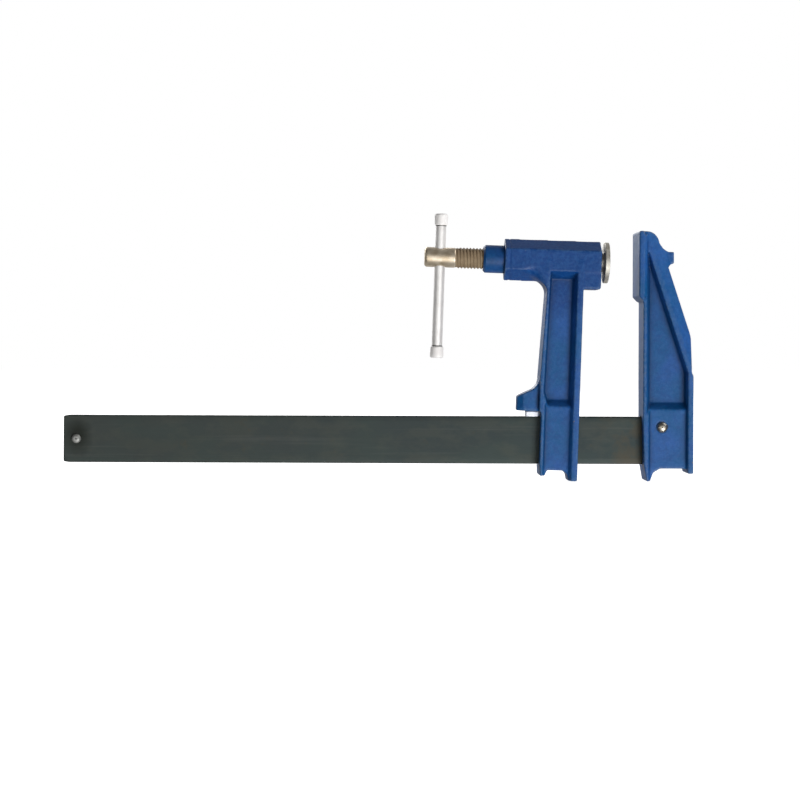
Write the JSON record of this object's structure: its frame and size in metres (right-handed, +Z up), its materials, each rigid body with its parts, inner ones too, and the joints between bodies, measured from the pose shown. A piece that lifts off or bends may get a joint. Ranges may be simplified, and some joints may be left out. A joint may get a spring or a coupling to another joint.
{
  "type": "f clamp",
  "caption": "Screw clamp with a flat bar, a riveted fixed jaw, a sliding jaw that rocks to grip the bar, and a short screw with a swivel pad and a sliding tommy bar.",
  "frame": {"origin": "centre of the fixed jaw's clamping face, level with the screw's axis", "axes": "+X along the bar towards the fixed jaw, +Y across the bar's thickness, +Z up the arms away from the bar"},
  "size_m": [0.4776, 0.039, 0.2029],
  "materials": {
    "bar_steel": "dark hot-rolled and drawn steel, lightly oiled",
    "blue_enamel": "semi-gloss blue enamel over a sand-cast surface",
    "shoe_steel": "ground hardened steel",
    "rivet_steel": "bright domed rivet",
    "pin_steel": "plain turned steel",
    "screw_steel": "rolled thread and turned head, yellow passivated and oiled",
    "plated_steel": "nickel plated, satin"
  },
  "bodies": {
    "rail": {"bar": "bar_steel", "fixed_jaw": "blue_enamel", "fixed_jaw_rivet": "rivet_steel", "stop_pin": "pin_steel"},
    "shoe": {"grip_shoe": "shoe_steel"},
    "jaw": {"sliding_jaw": "blue_enamel", "spindle_nut": "blue_enamel", "nut_lock_screw": "pin_steel"},
    "plunger": {"plunger": "plated_steel", "plunger_ring": "pin_steel"},
    "spindle": {"spindle": "screw_steel"},
    "tommy": {"tommy_bar": "plated_steel", "tommy_bar_ends": "plated_steel"},
    "pad_ring": {"pad_ring": "pin_steel"},
    "pad": {"pressure_pad": "plated_steel"}
  },
  "joints": [
    {"name": "jaw_slide", "type": "slide", "parent": "rail", "child": "shoe", "axis": [1, 0, 0], "range_m": [-0.347, 0]},
    {"name": "jaw_rock", "type": "hinge", "parent": "shoe", "child": "jaw", "pos_m": [-0.07915, 0, -0.1148], "axis": [0, 1, 0], "range_deg": [-1.75, 0]},
    {"name": "screw_travel", "type": "slide", "parent": "jaw", "child": "plunger", "axis": [0.9995, 0, -0.0305], "range_m": [-0.001, 0.019]},
    {"name": "screw_turn", "type": "hinge", "parent": "plunger", "child": "spindle", "pos_m": [-0.08054, 0, 0.0001], "axis": [0.9995, 0, -0.0305], "range_deg": [-144, 2736]},
    {"name": "tommy_bar_slide", "type": "slide", "parent": "spindle", "child": "tommy", "axis": [0.0305, 0, 0.9995], "range_m": [-0.0165, 0.06]},
    {"name": "pad_tilt", "type": "hinge", "parent": "plunger", "child": "pad_ring", "pos_m": [-0.02967, 0, -0.00146], "axis": [0, 1, 0], "range_deg": [-4, 4]},
    {"name": "pad_swing", "type": "hinge", "parent": "pad_ring", "child": "pad", "pos_m": [-0.02967, 0, -0.00146], "axis": [0.0305, 0, 0.9995], "range_deg": [-4, 4]}
  ],
  "couplings": [
    {"joint": "screw_turn", "follows": "screw_travel", "rad_per_m": 2513.3}
  ]
}
